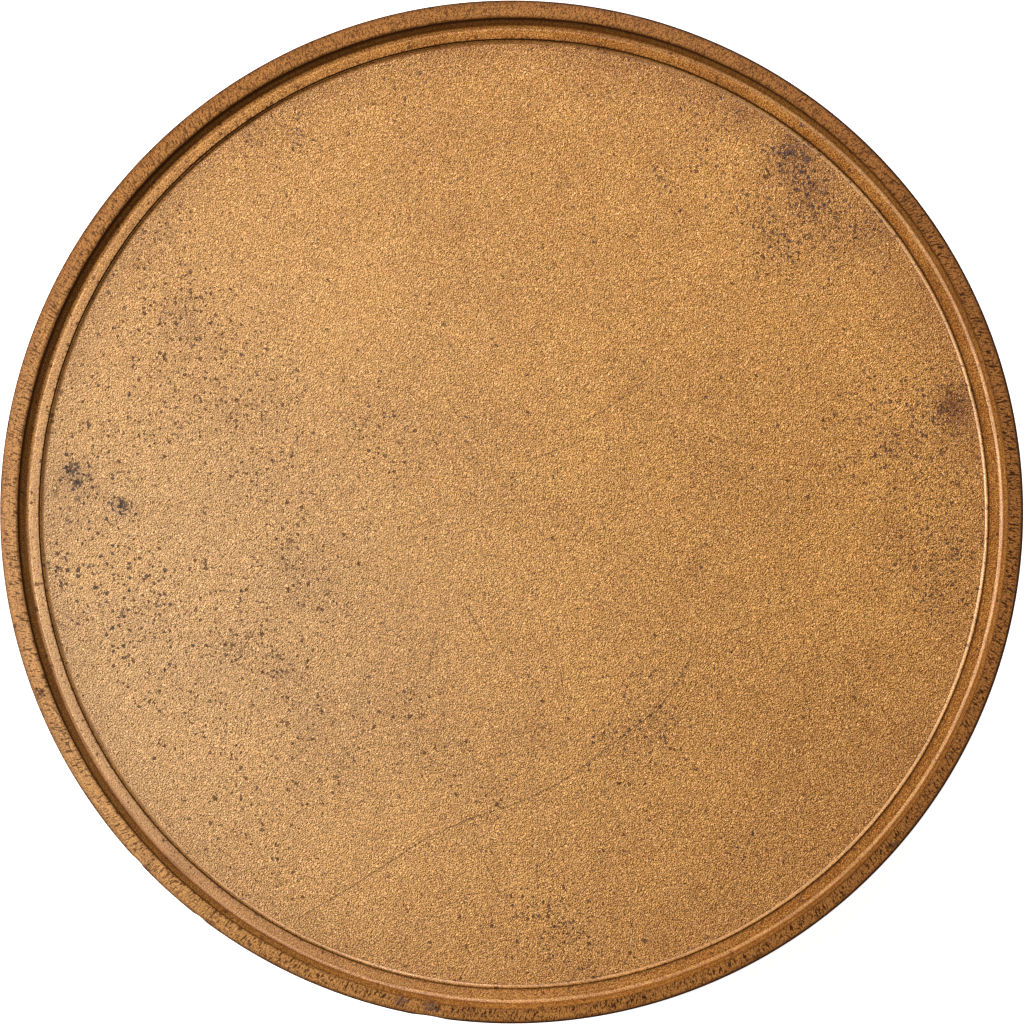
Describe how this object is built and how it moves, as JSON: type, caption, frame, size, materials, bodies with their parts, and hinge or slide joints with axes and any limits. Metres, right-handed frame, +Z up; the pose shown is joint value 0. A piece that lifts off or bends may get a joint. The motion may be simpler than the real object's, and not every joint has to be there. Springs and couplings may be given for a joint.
{
  "type": "commemorative medal",
  "caption": "Round bronze table medal with a raised rim, a fine ring line and a sunk bare field on its obverse, and a plain sunk reverse.",
  "frame": {"origin": "centre of the turned edge, on the plane of the reverse rim that the medal rests on", "axes": "+Z up out of the obverse, +Y towards the top of the obverse, +X towards its right"},
  "size_m": [0.06, 0.06, 0.005],
  "materials": {
    "bronze": "sandblasted tan bronze with brown and blue-black tarnish specks, darker on the rim"
  },
  "bodies": {
    "root": {"medal": "bronze"}
  },
  "joints": []
}
